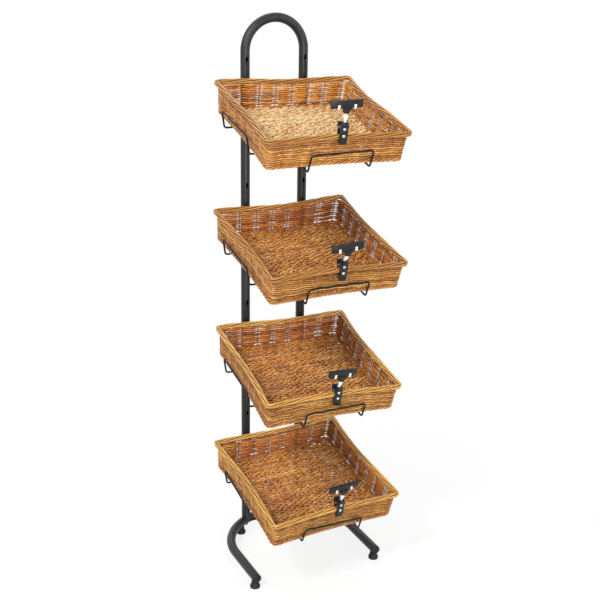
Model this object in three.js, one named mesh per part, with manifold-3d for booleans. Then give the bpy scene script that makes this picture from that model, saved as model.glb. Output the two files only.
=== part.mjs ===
import * as THREE from 'three';
import { mergeVertices } from 'three/addons/utils/BufferGeometryUtils.js';
import Module from 'manifold-3d';

const wasm = await Module();
wasm.setup();

// stand
const tubeRadius = 12.5;
const tubeWall = 1.5;
const uprightHalf = 85;
const archRise = 196;
const baseAxisHeight = 33;
const baseRadius = 185.5;
const baseTubeFront = -313;
const frontFootY = -301;
const rearFootX = 107;
const clearance = 0.3;

// tiers, top one first
const tierPitch = 337.4;
const topRimHeight = 1308;
const rearClearance = 40.85;
const basketTilt = 13;
const basketTurns = [-2.7, 0.3, -1.6, 2.8];
const clipSeats = [2, -8, -10, -1];
const neckTilts = [-4, 26, 12, 10];
const headNods = [2, -28, -12, -10];
const headTurns = [3, -3, 7, -1];
const headRolls = [0, -6.5, 8, -3];

// baskets
const baseSide = 358;
const wallFlare = 4.5;
const rimOverhang = 5.5;
const rimWidth = 15;
const rimDepth = 13;
const basketDepth = 84;
const wallThickness = 8;
const baseThickness = 8;
const wallCorner = 24;
const wallCourses = 10;
const floorRidges = 27;
const weaveRelief = 2;
const rimCorner = 16;

// wire cradles
const wireRadius = 2.5;
const wireBend = 9;
const hookBend = 3.2;
const dropBend = 14;
const hookAboveRim = 84;
const hookDepth = 11;
const slotRise = 14;
const frontLipGap = 8;
const frontLipLean = 10;
const lipHeight = 48;
const sideLipGap = 12;
const sideLipLean = 11;
const crossRear = 93;
const crossFront = -71;

// sign clips
const clipAcross = 6;
const clipWidth = 20;
const jawReach = 26;
const pivotHeight = 16;
const ballHeight = 32;
const handleTop = 25;
const ballForward = -8;
const neckSpan = 24;
const ballRadius = 4;
const socketRadius = 4.4;

const tierCount = 4;
const radians = THREE.MathUtils.degToRad;
const vec = (x, y, z) => new THREE.Vector3(x, y, z);
const baseCentreY = -Math.sqrt(baseRadius ** 2 - uprightHalf ** 2);
const archAxisTop = topRimHeight + archRise;
const wallTopSide = baseSide + 2 * wallFlare;
const rimSide = wallTopSide + 2 * rimOverhang;
const basketCentreY = -(rimSide / 2) * Math.cos(radians(basketTilt)) - rearClearance;
const frontLipAt = -baseSide / 2 - frontLipGap;
const sideLipAt = baseSide / 2 + sideLipGap;

const coat = new THREE.MeshStandardMaterial({ color: 0x3f403d, roughness: 0.5, metalness: 0.2 });
const wire = new THREE.MeshStandardMaterial({ color: 0x1d1d1d, roughness: 0.5, metalness: 0.2 });
const rubber = new THREE.MeshStandardMaterial({ color: 0x161616, roughness: 0.7 });
const willow = new THREE.MeshStandardMaterial({ color: 0xb98243, roughness: 0.75 });
const rimWillow = new THREE.MeshStandardMaterial({ color: 0xcf9f5b, roughness: 0.7 });
const blackPlastic = new THREE.MeshStandardMaterial({ color: 0x26282a, roughness: 0.4 });
const palePlastic = new THREE.MeshStandardMaterial({ color: 0xe6e6e2, roughness: 0.3 });
const steel = new THREE.MeshStandardMaterial({ color: 0xb6b8ba, roughness: 0.3, metalness: 0.8 });

// path whose rings fall exactly on its own points
class RingPath extends THREE.Curve {
  constructor(points) {
    super();
    this.points = points;
  }
  getPoint(t, target = new THREE.Vector3()) {
    const place = t * (this.points.length - 1);
    const index = Math.min(Math.floor(place), this.points.length - 2);
    return target.lerpVectors(this.points[index], this.points[index + 1], place - index);
  }
  getUtoTmapping(u) {
    return u;
  }
}

function roundCorners(corners, radius, steps) {
  const points = [corners[0]];
  for (let i = 1; i < corners.length - 1; i += 1) {
    const back = corners[i - 1].clone().sub(corners[i]).normalize();
    const ahead = corners[i + 1].clone().sub(corners[i]).normalize();
    const half = back.angleTo(ahead) / 2;
    const bend = Array.isArray(radius) ? radius[i] : radius;
    const reach = bend / Math.tan(half);
    const centre = back.clone().add(ahead).normalize().multiplyScalar(bend / Math.sin(half)).add(corners[i]);
    const from = corners[i].clone().addScaledVector(back, reach).sub(centre);
    const to = corners[i].clone().addScaledVector(ahead, reach).sub(centre);
    const turn = from.clone().cross(to).normalize();
    const sweep = from.angleTo(to);
    for (let k = 0; k <= steps; k += 1) {
      points.push(from.clone().applyAxisAngle(turn, (sweep * k) / steps).add(centre));
    }
  }
  points.push(corners[corners.length - 1]);
  return points;
}

function circle(radius) {
  return new THREE.Shape().absarc(0, 0, radius, 0, Math.PI * 2, false);
}

function sweep(points, radius, sides, bore = 0) {
  const shape = circle(radius);
  if (bore > 0) shape.holes.push(new THREE.Path().absarc(0, 0, bore, 0, Math.PI * 2, true));
  return new THREE.ExtrudeGeometry(shape, {
    steps: points.length - 1,
    curveSegments: sides / 2,
    extrudePath: new RingPath(points),
  });
}

function toManifold(geometry) {
  const bare = new THREE.BufferGeometry();
  bare.setAttribute('position', geometry.getAttribute('position').clone());
  if (geometry.index) bare.setIndex(geometry.index.clone());
  const merged = mergeVertices(bare, 1e-4);
  return new wasm.Manifold(new wasm.Mesh({
    numProp: 3,
    vertProperties: new Float32Array(merged.attributes.position.array),
    triVerts: new Uint32Array(merged.index.array),
  }));
}

function fromManifold(solid) {
  const mesh = solid.getMesh();
  const geometry = new THREE.BufferGeometry();
  geometry.setAttribute('position', new THREE.BufferAttribute(new Float32Array(mesh.vertProperties), 3));
  geometry.setIndex(new THREE.BufferAttribute(new Uint32Array(mesh.triVerts), 1));
  const flat = geometry.toNonIndexed();
  flat.computeVertexNormals();
  return flat;
}

function box(low, high) {
  const size = high.map((value, i) => value - low[i]);
  return new THREE.BoxGeometry(...size).translate(...low.map((value, i) => value + size[i] / 2));
}

function post(radius, x, y, low, high, sides) {
  return new THREE.CylinderGeometry(radius, radius, high - low, sides)
    .rotateX(Math.PI / 2).translate(x, y, (low + high) / 2);
}

function turned(profile, sides) {
  const points = profile.map(([r, z]) => new THREE.Vector2(r, z));
  return new THREE.LatheGeometry(points, sides).rotateX(Math.PI / 2);
}

function cut(solid, tools) {
  return tools.reduce((left, tool) => left.subtract(toManifold(tool)), solid);
}

function join(pieces) {
  return pieces.map(toManifold).reduce((left, right) => left.add(right));
}

function named(name, geometry, material) {
  const mesh = new THREE.Mesh(geometry, material);
  mesh.name = name;
  return mesh;
}

const rack = new THREE.Group();
rack.name = 'bakery_bread_rack';
const stand = new THREE.Group();
rack.add(stand);

function tierRimHeight(tier) {
  return topRimHeight - tier * tierPitch;
}

function tierPoint(u, v, w) {
  const tilt = radians(basketTilt);
  const y = basketCentreY + Math.cos(tilt) * v - Math.sin(tilt) * w;
  return vec(u, y, Math.sin(tilt) * v + Math.cos(tilt) * w);
}

// base tube
function basePath() {
  const points = [vec(-baseRadius, baseTubeFront, baseAxisHeight)];
  const steps = 18;
  for (let k = 0; k <= steps; k += 1) {
    const angle = Math.PI - (Math.PI * k) / steps;
    const y = baseCentreY + baseRadius * Math.sin(angle);
    points.push(vec(baseRadius * Math.cos(angle), y, baseAxisHeight));
  }
  points.push(vec(baseRadius, baseTubeFront, baseAxisHeight));
  return points;
}

const rearFootY = baseCentreY + Math.sqrt(baseRadius ** 2 - rearFootX ** 2);
const footPlaces = {
  front_left: [-baseRadius, frontFootY],
  front_right: [baseRadius, frontFootY],
  rear_left: [-rearFootX, rearFootY],
  rear_right: [rearFootX, rearFootY],
};
const tubeBottom = baseAxisHeight - tubeRadius;
const boltRadius = 4;
const plugLength = 28;
const boltReach = 20;

function addBase() {
  const hole = boltRadius + 0.5;
  const footHole = ([x, y]) => post(hole, x, y, tubeBottom - 3, baseAxisHeight - 4, 12);
  const tools = Object.values(footPlaces).map(footHole);
  for (const side of [-1, 1]) {
    const high = baseAxisHeight + tubeRadius + 3;
    tools.push(post(hole, side * uprightHalf, 0, tubeBottom - 3, high, 12));
  }
  const tube = toManifold(sweep(basePath(), tubeRadius, 14, tubeRadius - tubeWall));
  stand.add(named('base_tube', fromManifold(cut(tube, tools)), coat));

  for (const [place, [x, y]] of Object.entries(footPlaces)) {
    const top = tubeBottom - clearance;
    const foot = turned([
      [0, 0], [13, 0], [14, 1.5], [14, 8], [12, 10.5], [10.2, 12], [10.2, top],
      [boltRadius, top], [boltRadius, top + 15], [0, top + 15],
    ], 12);
    stand.add(named(`foot_${place}`, foot.translate(x, y, 0), rubber));
  }
  for (const [side, x] of [['left', -baseRadius], ['right', baseRadius]]) {
    const stub = tubeRadius - tubeWall - clearance - 0.3;
    const cap = turned([
      [0, -6.3], [stub, -6.3], [stub, 0],
      [tubeRadius, 0], [tubeRadius, 1.6], [tubeRadius - 2.2, 3.2], [0, 3.8],
    ], 14);
    cap.rotateX(Math.PI / 2).translate(x, baseTubeFront - clearance, baseAxisHeight);
    stand.add(named(`end_cap_${side}`, cap, rubber));
  }
}

// uprights
const plugBottom = baseAxisHeight + tubeRadius + 4;

function addUprights() {
  const spring = archAxisTop - uprightHalf;
  const points = [vec(-uprightHalf, 0, baseAxisHeight)];
  const steps = 14;
  for (let k = 0; k <= steps; k += 1) {
    const angle = Math.PI - (Math.PI * k) / steps;
    points.push(vec(uprightHalf * Math.cos(angle), 0, spring + uprightHalf * Math.sin(angle)));
  }
  points.push(vec(uprightHalf, 0, baseAxisHeight));
  const tools = [sweep(basePath(), tubeRadius + clearance, 14)];
  const slotHalf = wireRadius + 0.8;
  for (let tier = 0; tier < tierCount; tier += 1) {
    const hook = tierRimHeight(tier) + hookAboveRim;
    for (const side of [-1, 1]) {
      const x = side * uprightHalf;
      const low = [x - slotHalf, -tubeRadius - 3, hook - slotHalf];
      tools.push(box(low, [x + slotHalf, -tubeRadius / 2, hook + slotRise]));
    }
  }
  const whole = toManifold(sweep(points, tubeRadius, 14, tubeRadius - tubeWall));
  const reach = 2 * tubeRadius;
  const above = toManifold(box(
    [-uprightHalf - reach, -reach, baseAxisHeight + 1],
    [uprightHalf + reach, reach, archAxisTop + reach],
  ));
  const bodies = cut(whole.intersect(above), tools).decompose();
  bodies.sort((a, b) => b.volume() - a.volume());
  stand.add(named('upright_frame', fromManifold(bodies[0]), coat));

  for (const [side, x] of [['left', -uprightHalf], ['right', uprightHalf]]) {
    const outer = tubeRadius - tubeWall - clearance - 0.3;
    const inner = boltRadius + 0.5;
    const plugTop = plugBottom + plugLength;
    const holeTop = plugBottom + boltReach + boltRadius;
    const plug = turned([
      [inner, plugBottom], [outer, plugBottom], [outer, plugTop], [0, plugTop],
      [0, holeTop], [inner, holeTop], [inner, plugBottom],
    ], 12);
    stand.add(named(`upright_plug_${side}`, plug.translate(x, 0, 0), steel));
    const head = tubeBottom - clearance;
    const bolt = turned([
      [0, head - 4.5], [5.6, head - 4.5], [6.5, head - 3.6], [6.5, head],
      [boltRadius, head], [boltRadius, plugBottom + boltReach], [0, plugBottom + boltReach],
    ], 10);
    stand.add(named(`upright_bolt_${side}`, bolt.translate(x, 0, 0), steel));
  }
}

// wire cradles
function addCradle(tier, group) {
  const label = tier + 1;
  const floor = -basketDepth - clearance - wireRadius;
  const under = floor - 2 * wireRadius - clearance;
  const hookInside = -4.5;
  const wireFace = -tubeRadius - clearance - wireRadius;
  const hook = hookAboveRim;
  const drop = (side) => {
    const tilt = radians(basketTilt);
    const v = (wireFace - basketCentreY + Math.sin(tilt) * under) / Math.cos(tilt);
    return vec(side * uprightHalf, wireFace, Math.sin(tilt) * v + Math.cos(tilt) * under);
  };
  const half = (side) => [
    vec(side * uprightHalf, hookInside, hook - hookDepth),
    vec(side * uprightHalf, hookInside, hook),
    vec(side * uprightHalf, wireFace, hook),
    drop(side),
    tierPoint(side * uprightHalf, frontLipAt, under),
    tierPoint(side * uprightHalf, frontLipAt - frontLipLean, under + lipHeight),
  ];
  const corners = [...half(-1), ...half(1).reverse()];
  const sideBends = [0, hookBend, hookBend, dropBend, wireBend, wireBend];
  const bends = [...sideBends, ...sideBends.slice().reverse()];
  const main = sweep(roundCorners(corners, bends, 3), wireRadius, 8);
  group.add(named(`cradle_${label}_main_wire`, main, wire));

  const arc = (side) => {
    const run = [
      tierPoint(0, crossFront, floor),
      tierPoint(side * sideLipAt, crossFront, floor),
      tierPoint(side * (sideLipAt + sideLipLean), crossFront, floor + lipHeight),
      tierPoint(side * (sideLipAt + sideLipLean), crossRear, floor + lipHeight),
      tierPoint(side * sideLipAt, crossRear, floor),
      tierPoint(0, crossRear, floor),
    ];
    return sweep(roundCorners(run, wireBend, 3), wireRadius, 8);
  };
  const lapAt = (v) => sweep([tierPoint(-3, v, floor), tierPoint(3, v, floor)], wireRadius, 8);
  const lap = [crossFront, crossRear].map(lapAt);
  group.add(named(`cradle_${label}_cross_wire`, fromManifold(join([arc(-1), arc(1), ...lap])), wire));
}

// baskets
function roundedSquare(side, radius, steps) {
  const half = side / 2 - radius;
  const points = [];
  for (let corner = 0; corner < 4; corner += 1) {
    const middle = Math.PI / 4 + (corner * Math.PI) / 2;
    const centre = [Math.sign(Math.cos(middle)) * half, Math.sign(Math.sin(middle)) * half];
    for (let k = 0; k <= steps; k += 1) {
      const angle = (corner * Math.PI) / 2 + ((Math.PI / 2) * k) / steps;
      points.push([centre[0] + radius * Math.cos(angle), centre[1] + radius * Math.sin(angle)]);
    }
  }
  return points;
}

// closed band of rounded squares, one per row of [side, corner radius, height]
function squareBand(rows, ring, steps = 4) {
  const loop = ([side, radius, height]) => roundedSquare(side, radius, steps).map(([x, y]) => [x, y, height]);
  const loops = rows.map(loop);
  const count = loops[0].length;
  const positions = loops.flat(2);
  const faces = [];
  const bands = ring ? loops.length : loops.length - 1;
  for (let row = 0; row < bands; row += 1) {
    const next = (row + 1) % loops.length;
    for (let k = 0; k < count; k += 1) {
      const after = (k + 1) % count;
      faces.push(row * count + k, row * count + after, next * count + after);
      faces.push(row * count + k, next * count + after, next * count + k);
    }
  }
  const geometry = new THREE.BufferGeometry();
  geometry.setAttribute('position', new THREE.Float32BufferAttribute(positions, 3));
  geometry.setIndex(faces);
  const flat = geometry.toNonIndexed();
  flat.computeVertexNormals();
  return flat;
}

// floor plate whose top is ridged across, one ridge for each pair of woven rods
function ridgedFloor() {
  const flat = ([x, y]) => new THREE.Vector2(x, y);
  const outline = new THREE.Shape(roundedSquare(baseSide, wallCorner, 4).map(flat));
  const plate = new THREE.ExtrudeGeometry(outline, { depth: baseThickness, bevelEnabled: false });
  plate.translate(0, 0, -basketDepth);
  const pitch = baseSide / floorRidges;
  const top = baseThickness - basketDepth;
  const grooves = [];
  for (let k = 1; k < floorRidges; k += 1) {
    const middle = -baseSide / 2 + k * pitch;
    const notch = new THREE.Shape([[-pitch / 2, 0], [0, -weaveRelief], [pitch / 2, 0]].map(flat));
    grooves.push(new THREE.ExtrudeGeometry(notch, { depth: baseSide + pitch, bevelEnabled: false })
      .rotateY(Math.PI / 2).rotateX(Math.PI / 2).translate(-(baseSide + pitch) / 2, middle, top));
  }
  return fromManifold(cut(toManifold(plate), grooves));
}

// wall section that swells at each course of rods and draws in between them
function coursedWall(low, high) {
  const steps = 2 * wallCourses;
  const outside = [];
  const inside = [];
  for (let k = 0; k <= steps; k += 1) {
    const share = k / steps;
    const height = low + (high - low) * share;
    const side = baseSide + (wallTopSide - baseSide) * share;
    const drawn = k % 2 === 0 ? weaveRelief : 0;
    const depth = wallThickness - drawn;
    outside.push([side - 2 * drawn, wallCorner - drawn, height]);
    inside.unshift([side - 2 * depth, wallCorner - depth, height]);
  }
  return squareBand([...outside, ...inside], true, 3);
}

function addBasket(tier, group) {
  const label = tier + 1;
  const wallTop = -rimDepth - clearance;
  const wallBottom = -basketDepth + baseThickness + clearance;
  group.add(named(`basket_${label}_base`, ridgedFloor(), willow));
  group.add(named(`basket_${label}_wall`, coursedWall(wallBottom, wallTop), willow));

  const rows = [];
  for (let k = 0; k < 8; k += 1) {
    const angle = -Math.PI / 2 + (k * Math.PI) / 4 + Math.PI / 8;
    const out = (rimWidth / 2) * (1 - Math.cos(angle) / Math.cos(Math.PI / 8));
    const height = -rimDepth / 2 + ((rimDepth / 2) * Math.sin(angle)) / Math.cos(Math.PI / 8);
    rows.push([rimSide - 2 * out, rimCorner - out, height]);
  }
  group.add(named(`basket_${label}_rim`, squareBand(rows, true), rimWillow));
}

// sign clips, drawn with the rim's top middle as their own origin
function sideProfile(points, width) {
  const shape = new THREE.Shape(points.map(([v, w]) => new THREE.Vector2(v, w)));
  return new THREE.ExtrudeGeometry(shape, { depth: width, bevelEnabled: false })
    .rotateY(Math.PI / 2).rotateX(Math.PI / 2).translate(-width / 2, 0, 0);
}

function frontProfile(points, depth) {
  const shape = new THREE.Shape(points.map(([u, w]) => new THREE.Vector2(u, w)));
  return new THREE.ExtrudeGeometry(shape, { depth, bevelEnabled: false })
    .rotateX(Math.PI / 2).translate(0, depth / 2, 0);
}

const pinRadius = 1.5;
const jawFace = rimWidth / 2 + 0.4;

function addClamp(label, group) {
  const bore = new THREE.CylinderGeometry(pinRadius + 0.4, pinRadius + 0.4, 3 * clipWidth, 12)
    .rotateZ(Math.PI / 2).translate(0, 0, pivotHeight);
  const ear = (u, low, high) => box([u - 1.25, low, pivotHeight - 3.6], [u + 1.25, high, pivotHeight + 3.6]);
  const front = join([
    sideProfile([
      [-jawFace, -jawReach], [-jawFace, 4], [-jawFace - 0.5, handleTop - 1], [-jawFace - 4.5, handleTop - 1],
      [-jawFace - 4, 4], [-jawFace - 3.2, -jawReach + 2], [-jawFace - 2, -jawReach],
    ], clipWidth),
    box([-7, ballForward - 6.5, handleTop - 3], [7, ballForward + 6.5, ballHeight + 1]),
    ear(-8.6, -jawFace - 2, 3.6),
    ear(8.6, -jawFace - 2, 3.6),
  ]);
  const socket = new THREE.SphereGeometry(socketRadius, 10, 8)
    .rotateX(Math.PI / 2).translate(0, ballForward, ballHeight);
  group.add(named(`clip_${label}_front_jaw`, fromManifold(cut(front, [bore, socket])), blackPlastic));

  const rear = join([
    sideProfile([
      [jawFace, -jawReach], [jawFace + 2, -jawReach], [jawFace + 3.2, -jawReach + 2], [jawFace + 4, 4],
      [jawFace + 9.5, handleTop - 1], [jawFace + 6.3, handleTop - 0.4], [jawFace + 0.5, 4],
    ], clipWidth - 4),
    ear(-5.6, -3.6, jawFace + 4.4),
    ear(5.6, -3.6, jawFace + 4.4),
  ]);
  group.add(named(`clip_${label}_rear_jaw`, fromManifold(cut(rear, [bore])), blackPlastic));

  const pin = turned([
    [0, -11.6], [2.6, -11.6], [2.6, -10.2], [pinRadius, -10.2],
    [pinRadius, 10.2], [2.6, 10.2], [2.6, 11.6], [0, 11.6],
  ], 8);
  group.add(named(`clip_${label}_pin`, pin.rotateY(Math.PI / 2).translate(0, 0, pivotHeight), steel));
  group.add(named(`clip_${label}_spring`, sweep(springPoints(), springWire, 5), steel));
}

// torsion spring: curls on the pin, one leg to each lever
const springWire = 0.45;
const springRadius = pinRadius + springWire + 1.5 * clearance;
const springPitch = 1.5;
const springTurns = 3.5;

function springPoints() {
  const points = [];
  const steps = springTurns * 8;
  const length = springTurns * springPitch;
  const coil = (k) => {
    const angle = Math.PI + (k / 8) * Math.PI * 2;
    const along = -length / 2 + (k / 8) * springPitch;
    return vec(along, springRadius * Math.cos(angle), pivotHeight + springRadius * Math.sin(angle));
  };
  points.push(vec(-length / 2, -jawFace + 0.5, handleTop - 5));
  for (let k = 0; k <= steps; k += 1) points.push(coil(k));
  points.push(vec(length / 2, jawFace + 4.2, handleTop - 5));
  return points;
}

// least gap of the spring to itself, measured between points more than half a curl apart
function springGap() {
  const path = new RingPath(springPoints());
  const count = 400;
  const samples = Array.from({ length: count }, (_, k) => path.getPoint(k / (count - 1)));
  let least = Infinity;
  for (let a = 0; a < count; a += 1) {
    for (let b = a + 40; b < count; b += 1) least = Math.min(least, samples[a].distanceTo(samples[b]));
  }
  return least - 2 * springWire;
}

function ballProfile() {
  const profile = [[0, -ballRadius]];
  for (const angle of [-50, 0, 30]) {
    profile.push([ballRadius * Math.cos(radians(angle)), ballRadius * Math.sin(radians(angle))]);
  }
  profile.push([2.2, 3.3], [2.2, 6.4], [5.2, 7.6]);
  profile.push([5.2, neckSpan - 7.6], [2.2, neckSpan - 6.4], [2.2, neckSpan - 3.3]);
  for (const angle of [-30, 0, 50]) {
    profile.push([ballRadius * Math.cos(radians(angle)), neckSpan + ballRadius * Math.sin(radians(angle))]);
  }
  profile.push([0, neckSpan + ballRadius]);
  return profile;
}

const barHalf = 43;
const barLow = 11;
const barHigh = 31;

// sign head, drawn with the upper ball's centre as its own origin
function addHead(label, group) {
  const head = join([
    frontProfile([
      [-barHalf, barLow + 2], [-barHalf + 2, barLow], [barHalf - 2, barLow],
      [barHalf, barLow + 2], [barHalf, barHigh], [-barHalf, barHigh],
    ], 5),
    frontProfile([[-6.5, -1], [6.5, -1], [6.5, 4], [13, barLow + 1], [-13, barLow + 1], [-6.5, 4]], 12),
  ]);
  const socket = new THREE.SphereGeometry(socketRadius, 10, 8).rotateX(Math.PI / 2);
  const slot = box([-barHalf - 1, -0.6, barHigh - 11], [barHalf + 1, 0.6, barHigh + 1]);
  group.add(named(`clip_${label}_head`, fromManifold(cut(head, [socket, slot])), blackPlastic));

  const fingerAt = 22;
  const pieces = [box([-fingerAt - 3, 2.8, barLow + 3], [fingerAt + 3, 4.2, barLow + 8])];
  for (const side of [-1, 1]) {
    const low = side * fingerAt - 3;
    pieces.push(box([low, 2.8, barLow - 1.7], [low + 6, 4.2, barLow + 4]));
    pieces.push(box([low, -4.2, barLow - 1.7], [low + 6, 4.2, barLow - 0.3]));
    pieces.push(box([low, -4.2, barLow - 1.7], [low + 6, -2.8, barLow + 9]));
  }
  group.add(named(`clip_${label}_fingers`, fromManifold(join(pieces)), palePlastic));
}

function addClip(tier, basket) {
  const label = tier + 1;
  const clamp = new THREE.Group();
  clamp.position.set(clipAcross, -rimSide / 2 + rimWidth / 2, clipSeats[tier]);
  basket.add(clamp);
  addClamp(label, clamp);
  const neck = new THREE.Group();
  neck.position.set(0, ballForward, ballHeight);
  neck.rotation.x = radians(neckTilts[tier]);
  clamp.add(neck);
  neck.add(named(`clip_${label}_neck`, turned(ballProfile(), 10), palePlastic));
  const head = new THREE.Group();
  head.position.z = neckSpan;
  head.rotation.set(radians(headNods[tier]), radians(headRolls[tier]), radians(headTurns[tier]), 'ZXY');
  neck.add(head);
  addHead(label, head);
}

addBase();
addUprights();
for (let tier = 0; tier < tierCount; tier += 1) {
  const cradle = new THREE.Group();
  cradle.position.z = tierRimHeight(tier);
  stand.add(cradle);
  addCradle(tier, cradle);
  const tilted = new THREE.Group();
  tilted.position.set(0, basketCentreY, tierRimHeight(tier));
  tilted.rotation.x = radians(basketTilt);
  stand.add(tilted);
  const basket = new THREE.Group();
  basket.rotation.z = radians(basketTurns[tier]);
  tilted.add(basket);
  addBasket(tier, basket);
  addClip(tier, basket);
}
console.log(`spring curls stand at least ${springGap().toFixed(2)} mm apart`);

// origin on the floor under the middle of the whole outline
rack.updateMatrixWorld(true);
const outline = new THREE.Box3().setFromObject(rack, true);
const middle = outline.getCenter(new THREE.Vector3());
stand.position.set(-middle.x, -middle.y, -outline.min.z);
rack.updateMatrixWorld(true);

export default rack;
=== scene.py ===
import bpy
import bmesh
import math
import random
from mathutils import Matrix, Vector


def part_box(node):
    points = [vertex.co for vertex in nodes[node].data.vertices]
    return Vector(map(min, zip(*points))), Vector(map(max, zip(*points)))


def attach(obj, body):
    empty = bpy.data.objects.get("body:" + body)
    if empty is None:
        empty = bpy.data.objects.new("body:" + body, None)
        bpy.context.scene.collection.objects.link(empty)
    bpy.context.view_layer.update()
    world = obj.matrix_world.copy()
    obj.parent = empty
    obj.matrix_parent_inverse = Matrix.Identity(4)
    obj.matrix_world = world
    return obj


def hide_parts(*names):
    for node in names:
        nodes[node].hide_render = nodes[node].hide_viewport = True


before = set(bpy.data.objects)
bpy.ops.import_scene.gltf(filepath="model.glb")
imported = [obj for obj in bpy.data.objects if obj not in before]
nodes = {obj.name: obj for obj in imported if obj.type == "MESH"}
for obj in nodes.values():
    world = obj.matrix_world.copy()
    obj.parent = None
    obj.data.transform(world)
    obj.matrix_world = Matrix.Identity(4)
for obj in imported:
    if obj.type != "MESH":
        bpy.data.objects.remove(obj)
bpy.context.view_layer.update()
low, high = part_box("upright_frame")
uprightY = (low.y + high.y) / 2  # plane of the two uprights
mm = 0.001

# sizes shared by more than one piece, in metres and degrees, from the uprights' plane and the floor
rack = dict(
    tiers=4,
    tubeRadius=12.5 * mm,
    uprightHalf=85 * mm,
    archTop=1504 * mm,
    baseHeight=33 * mm,
    baseRadius=185.5 * mm,
    baseFront=-313 * mm,
    tierPitch=337.4 * mm,
    topRim=1308 * mm,
    hookAbove=84 * mm,  # cradle hooks over the rim
    basketY=-225 * mm,
    basketDepth=84 * mm,
    basketTilt=13,
    basketTurns=(-2.7, 0.3, -1.6, 2.8),  # each basket sits a little crooked
)
tilt = math.radians(rack["basketTilt"])
baseCentreY = -math.sqrt(rack["baseRadius"] ** 2 - rack["uprightHalf"] ** 2)


def linear(hexText):  # sRGB hex to linear colour
    parts = [int(hexText[k:k + 2], 16) / 255 for k in (1, 3, 5)]
    return tuple(c / 12.92 if c <= 0.04045 else ((c + 0.055) / 1.055) ** 2.4 for c in parts) + (1.0,)


def addObject(name, data):
    made = bpy.data.objects.new(name, data)
    bpy.context.scene.collection.objects.link(made)
    return made


def rimHeight(tier):
    return rack["topRim"] - tier * rack["tierPitch"]


def standPoint(x, y, z):
    return Vector((x, y + uprightY, z))


def tierFrame(tier, turned=True):  # basket frame: +X across, +Y to the back, +Z out of the rim
    turn = math.radians(rack["basketTurns"][tier]) if turned else 0
    place = Matrix.Translation((0, uprightY + rack["basketY"], rimHeight(tier)))
    return place @ Matrix.Rotation(tilt, 4, "X") @ Matrix.Rotation(turn, 4, "Z")


# camera, solved from the tube, rims and feet in the photograph
cameraSet = dict(
    place=(-1322.1 * mm, -2921.2 * mm, 1817.2 * mm),
    yaw=25.72,
    pitch=18.92,
    roll=0.78,
    focalPixels=1191.2,
    framePixels=600,
    sensorWidth=36,
    farthest=50,
)


def addCamera():
    yaw, pitch, roll = (math.radians(cameraSet[k]) for k in ("yaw", "pitch", "roll"))
    ahead = Vector((math.sin(yaw) * math.cos(pitch), math.cos(yaw) * math.cos(pitch), -math.sin(pitch)))
    level = Vector((math.cos(yaw), -math.sin(yaw), 0))
    upright = level.cross(ahead)
    right = level * math.cos(roll) + upright * math.sin(roll)
    up = upright * math.cos(roll) - level * math.sin(roll)
    data = bpy.data.cameras.new("photoCamera")
    data.sensor_width = cameraSet["sensorWidth"]
    data.lens = cameraSet["sensorWidth"] * cameraSet["focalPixels"] / cameraSet["framePixels"]
    data.clip_end = cameraSet["farthest"]
    camera = addObject("photoCamera", data)
    camera.matrix_world = Matrix((right, up, -ahead)).transposed().to_4x4()
    camera.matrix_world.translation = standPoint(*cameraSet["place"])
    bpy.context.scene.camera = camera


addCamera()
print("camera placed")

# materials
mixFirst = 6  # colour sockets of a Mix node
mixSecond = 7
mixResult = 2


def addNode(mat, kind, settings=None, links=None):
    node = mat.node_tree.nodes.new(kind)
    for key, value in (settings or {}).items():
        if isinstance(key, int) or key in node.inputs:
            node.inputs[key].default_value = value
        else:
            setattr(node, key, value)
    for key, source in (links or {}).items():
        mat.node_tree.links.new(source, node.inputs[key])
    return node


def newMaterial(name):
    mat = bpy.data.materials.new(name)
    mat.use_nodes = True
    mat.node_tree.nodes.clear()
    return mat


def setRamp(node, stops):
    ramp = node.color_ramp
    while len(ramp.elements) < len(stops):
        ramp.elements.new(0.5)
    for element, (place, colour) in zip(ramp.elements, stops):
        element.position = place
        element.color = linear(colour)
    return node.outputs["Color"]


def finish(mat, settings, links):
    shader = addNode(mat, "ShaderNodeBsdfPrincipled", settings, links)
    addNode(mat, "ShaderNodeOutputMaterial", links={"Surface": shader.outputs["BSDF"]})
    return mat


# powder coat baked on steel: dark, satin, with a faint orange peel,
# drawn coarser than the real 1 mm so that it shows
coatLook = dict(cloudSize=60 * mm, darkAt=0.35, paleAt=0.7, peelStrength=0.12, peelDepth=0.2 * mm,
                sheenFrom=0.3, sheenTo=0.7, glossier=0.06, duller=0.08)


def powderCoat(name, dark, pale, rough, peelSize, ior=1.42):
    look = coatLook
    mat = newMaterial(name)
    place = addNode(mat, "ShaderNodeTexCoord").outputs["Object"]
    cloud = addNode(mat, "ShaderNodeTexNoise",
                    {"Scale": 1 / look["cloudSize"], "Detail": 3.0}, {"Vector": place}).outputs["Fac"]
    tone = setRamp(addNode(mat, "ShaderNodeValToRGB", links={"Fac": cloud}),
                   [(look["darkAt"], dark), (look["paleAt"], pale)])
    sheen = addNode(mat, "ShaderNodeMapRange",
                    {"From Min": look["sheenFrom"], "From Max": look["sheenTo"],
                     "To Min": rough - look["glossier"], "To Max": rough + look["duller"]},
                    {"Value": cloud})
    peel = addNode(mat, "ShaderNodeTexNoise", {"Scale": 1 / peelSize, "Detail": 1.0}, {"Vector": place})
    bump = addNode(mat, "ShaderNodeBump",
                   {"Strength": look["peelStrength"], "Distance": look["peelDepth"]},
                   {"Height": peel.outputs["Fac"]})
    return finish(mat, {"Metallic": 0.0, "IOR": ior},
                  {"Base Color": tone, "Roughness": sheen.outputs["Result"],
                   "Normal": bump.outputs["Normal"]})


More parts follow.
